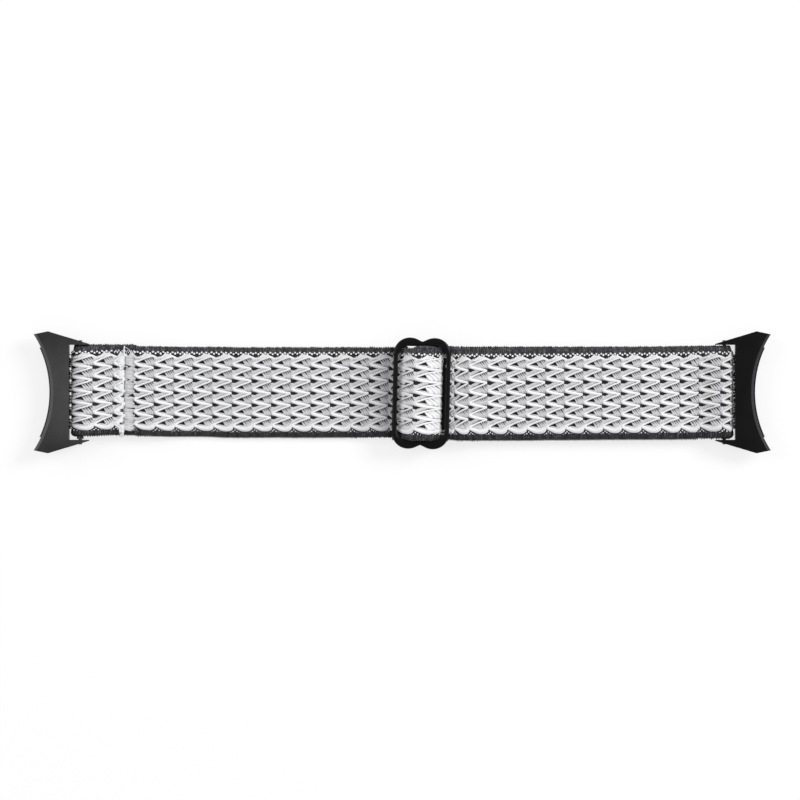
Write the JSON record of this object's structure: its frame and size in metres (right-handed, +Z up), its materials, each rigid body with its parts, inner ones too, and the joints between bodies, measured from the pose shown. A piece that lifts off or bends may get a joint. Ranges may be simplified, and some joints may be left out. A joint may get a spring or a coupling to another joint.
{
  "type": "braided nylon watch strap",
  "caption": "Elastic braided nylon watch strap with a sliding adjuster and hinged curved end links on sprung pins, for a round watch case.",
  "frame": {"origin": "on the table the strap lies on, half way between its two ends and on its middle line", "axes": "+X along the strap from the plain end to the doubled end, +Y across it, +Z up from the table through the face"},
  "size_m": [0.162, 0.0268, 0.0071],
  "materials": {
    "braided_nylon": "raised white yarn zigzags over a black woven ground, black selvedges",
    "sewing_thread": "matt white sewing thread",
    "black_casting": "satin black coating",
    "pin_steel": "turned steel, blackened",
    "spring_wire": "drawn spring wire"
  },
  "bodies": {
    "band": {"band_left_run": "braided_nylon", "band_left_bend": "braided_nylon"},
    "left_end": {"band_left_loop": "braided_nylon", "left_seam_thread": "sewing_thread", "left_strap_pin_tube": "pin_steel", "left_strap_pin_spring": "spring_wire"},
    "slider": {"slider_frame": "black_casting", "band_over_bar": "braided_nylon", "band_sewn_end": "braided_nylon", "slider_seam_thread": "sewing_thread"},
    "right_band": {"band_front_run": "braided_nylon", "band_rear_run": "braided_nylon", "band_right_bend": "braided_nylon"},
    "right_end": {"band_right_loop": "braided_nylon", "right_strap_pin_tube": "pin_steel", "right_strap_pin_spring": "spring_wire"},
    "left_strap_pin_upper": {"left_strap_pin_upper_tip": "pin_steel"},
    "left_strap_pin_lower": {"left_strap_pin_lower_tip": "pin_steel"},
    "left_link": {"left_end_link": "black_casting", "left_watch_pin_tube": "pin_steel", "left_watch_pin_fixed_tip": "pin_steel", "left_watch_pin_spring": "spring_wire"},
    "left_release": {"left_watch_pin_release_tip": "pin_steel"},
    "right_strap_pin_upper": {"right_strap_pin_upper_tip": "pin_steel"},
    "right_strap_pin_lower": {"right_strap_pin_lower_tip": "pin_steel"},
    "right_link": {"right_end_link": "black_casting", "right_watch_pin_tube": "pin_steel", "right_watch_pin_fixed_tip": "pin_steel", "right_watch_pin_spring": "spring_wire"},
    "right_release": {"right_watch_pin_release_tip": "pin_steel"}
  },
  "joints": [
    {"name": "slider_slide", "type": "slide", "parent": "band", "child": "slider", "axis": [1, 0, 0], "range_m": [-0.016, 0.024], "deforming": ["band_left_run"]},
    {"name": "right_band_slide", "type": "slide", "parent": "slider", "child": "right_band", "axis": [1, 0, 0], "range_m": [-0.012, 0.008], "deforming": ["band_front_run", "band_rear_run"]},
    {"name": "left_band_bend", "type": "hinge", "parent": "band", "child": "left_end", "pos_m": [-0.051, 0, 0.0013], "axis": [0, -1, 0], "range_deg": [-60, 75], "deforming": ["band_left_bend"]},
    {"name": "right_band_bend", "type": "hinge", "parent": "right_band", "child": "right_end", "pos_m": [0.057, 0, 0.0013], "axis": [0, 1, 0], "range_deg": [-45, 60], "deforming": ["band_right_bend"]},
    {"name": "left_strap_pin_upper_press", "type": "slide", "parent": "left_end", "child": "left_strap_pin_upper", "axis": [0, -1, 0], "range_m": [0, 0.00105], "stiffness_N_per_m": 300, "springref_m": -0.0005, "deforming": ["left_strap_pin_spring"]},
    {"name": "left_strap_pin_lower_press", "type": "slide", "parent": "left_end", "child": "left_strap_pin_lower", "axis": [0, 1, 0], "range_m": [0, 0.00105], "stiffness_N_per_m": 300, "springref_m": -0.0005},
    {"name": "left_link_swing", "type": "hinge", "parent": "left_end", "child": "left_link", "pos_m": [-0.0708, 0, 0.0021], "axis": [0, -1, 0], "range_deg": [-90, 90]},
    {"name": "left_release_press", "type": "slide", "parent": "left_link", "child": "left_release", "axis": [0, 1, 0], "range_m": [0, 0.0012], "stiffness_N_per_m": 300, "springref_m": -0.0005, "deforming": ["left_watch_pin_spring"]},
    {"name": "right_strap_pin_upper_press", "type": "slide", "parent": "right_end", "child": "right_strap_pin_upper", "axis": [0, -1, 0], "range_m": [0, 0.00105], "stiffness_N_per_m": 300, "springref_m": -0.0005, "deforming": ["right_strap_pin_spring"]},
    {"name": "right_strap_pin_lower_press", "type": "slide", "parent": "right_end", "child": "right_strap_pin_lower", "axis": [0, 1, 0], "range_m": [0, 0.00105], "stiffness_N_per_m": 300, "springref_m": -0.0005},
    {"name": "right_link_swing", "type": "hinge", "parent": "right_end", "child": "right_link", "pos_m": [0.0708, 0, 0.0021], "axis": [0, 1, 0], "range_deg": [-90, 90]},
    {"name": "right_release_press", "type": "slide", "parent": "right_link", "child": "right_release", "axis": [0, -1, 0], "range_m": [0, 0.0012], "stiffness_N_per_m": 300, "springref_m": -0.0005, "deforming": ["right_watch_pin_spring"]}
  ],
  "couplings": [
    {"joint": "right_band_slide", "follows": "slider_slide", "ratio": -0.5}
  ]
}
